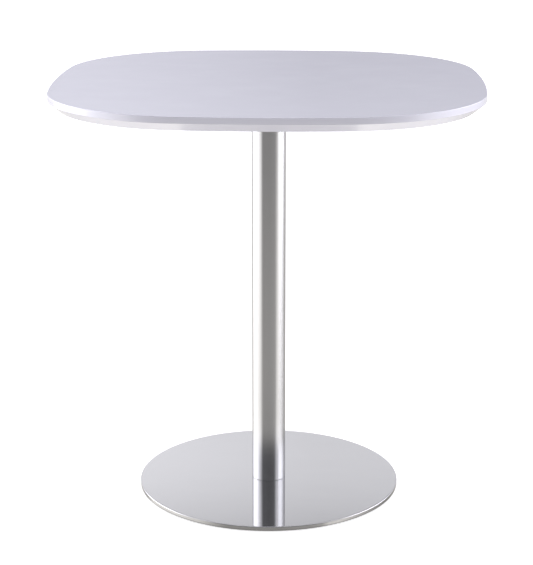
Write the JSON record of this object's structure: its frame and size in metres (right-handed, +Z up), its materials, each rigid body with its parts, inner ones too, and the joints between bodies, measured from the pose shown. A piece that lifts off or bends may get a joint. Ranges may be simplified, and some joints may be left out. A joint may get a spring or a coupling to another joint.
{
  "type": "bistro table",
  "caption": "Bistro table with a soft-square white lacquered top, a round brushed steel column and a flat round base on low levelling feet.",
  "frame": {"origin": "on the floor, on the column's axis, midway between the feet", "axes": "+Z up along the column; the top's straightest sides face +X, -X, +Y and -Y, and -Y is the front"},
  "size_m": [0.748, 0.748, 0.75],
  "materials": {
    "white_lacquer": "gloss",
    "brushed_stainless_column": "satin",
    "brushed_stainless_base": "satin",
    "black_rubber": "matte",
    "ballast_paint": "matte",
    "black_paint": "satin",
    "plain_steel": "satin",
    "zinc_steel": "satin",
    "brass_insert": "satin",
    "black_nylon": "satin"
  },
  "bodies": {
    "table": {"tabletop": "white_lacquer", "mounting_plate": "black_paint", "column_upper_plug": "plain_steel", "column_tube": "brushed_stainless_column", "column_seat_gasket": "black_rubber", "column_lower_plug": "plain_steel", "base_cover": "brushed_stainless_base", "ballast_plate": "ballast_paint", "tabletop_insert_1": "brass_insert", "tabletop_insert_2": "brass_insert", "tabletop_insert_3": "brass_insert", "tabletop_insert_4": "brass_insert", "tabletop_screw_1": "zinc_steel", "tabletop_screw_2": "zinc_steel", "tabletop_screw_3": "zinc_steel", "tabletop_screw_4": "zinc_steel", "tabletop_washer_1": "zinc_steel", "tabletop_washer_2": "zinc_steel", "tabletop_washer_3": "zinc_steel", "tabletop_washer_4": "zinc_steel", "upper_screw_1": "zinc_steel", "upper_screw_2": "zinc_steel", "upper_screw_3": "zinc_steel", "upper_screw_4": "zinc_steel", "base_screw_1": "zinc_steel", "base_screw_2": "zinc_steel", "base_screw_3": "zinc_steel", "base_screw_4": "zinc_steel"},
    "foot_1": {"foot_pad_1": "black_nylon"},
    "foot_1_stud": {"foot_stud_1": "zinc_steel"},
    "foot_2": {"foot_pad_2": "black_nylon"},
    "foot_2_stud": {"foot_stud_2": "zinc_steel"},
    "foot_3": {"foot_pad_3": "black_nylon"},
    "foot_3_stud": {"foot_stud_3": "zinc_steel"},
    "foot_4": {"foot_pad_4": "black_nylon"},
    "foot_4_stud": {"foot_stud_4": "zinc_steel"}
  },
  "joints": [
    {"name": "foot_1_height", "type": "slide", "parent": "table", "child": "foot_1", "axis": [0, 0, -1], "range_m": [0, 0.003]},
    {"name": "foot_1_turn", "type": "hinge", "parent": "foot_1", "child": "foot_1_stud", "pos_m": [0.14142, 0.14142, 0.004], "axis": [0, 0, -1], "range_deg": [0, 865]},
    {"name": "foot_2_height", "type": "slide", "parent": "table", "child": "foot_2", "axis": [0, 0, -1], "range_m": [0, 0.003]},
    {"name": "foot_2_turn", "type": "hinge", "parent": "foot_2", "child": "foot_2_stud", "pos_m": [-0.14142, 0.14142, 0.004], "axis": [0, 0, -1], "range_deg": [0, 865]},
    {"name": "foot_3_height", "type": "slide", "parent": "table", "child": "foot_3", "axis": [0, 0, -1], "range_m": [0, 0.003]},
    {"name": "foot_3_turn", "type": "hinge", "parent": "foot_3", "child": "foot_3_stud", "pos_m": [-0.14142, -0.14142, 0.004], "axis": [0, 0, -1], "range_deg": [0, 865]},
    {"name": "foot_4_height", "type": "slide", "parent": "table", "child": "foot_4", "axis": [0, 0, -1], "range_m": [0, 0.003]},
    {"name": "foot_4_turn", "type": "hinge", "parent": "foot_4", "child": "foot_4_stud", "pos_m": [0.14142, -0.14142, 0.004], "axis": [0, 0, -1], "range_deg": [0, 865]}
  ],
  "couplings": [
    {"joint": "foot_1_turn", "follows": "foot_1_height", "rad_per_m": 5026.5},
    {"joint": "foot_2_turn", "follows": "foot_2_height", "rad_per_m": 5026.5},
    {"joint": "foot_3_turn", "follows": "foot_3_height", "rad_per_m": 5026.5},
    {"joint": "foot_4_turn", "follows": "foot_4_height", "rad_per_m": 5026.5}
  ]
}
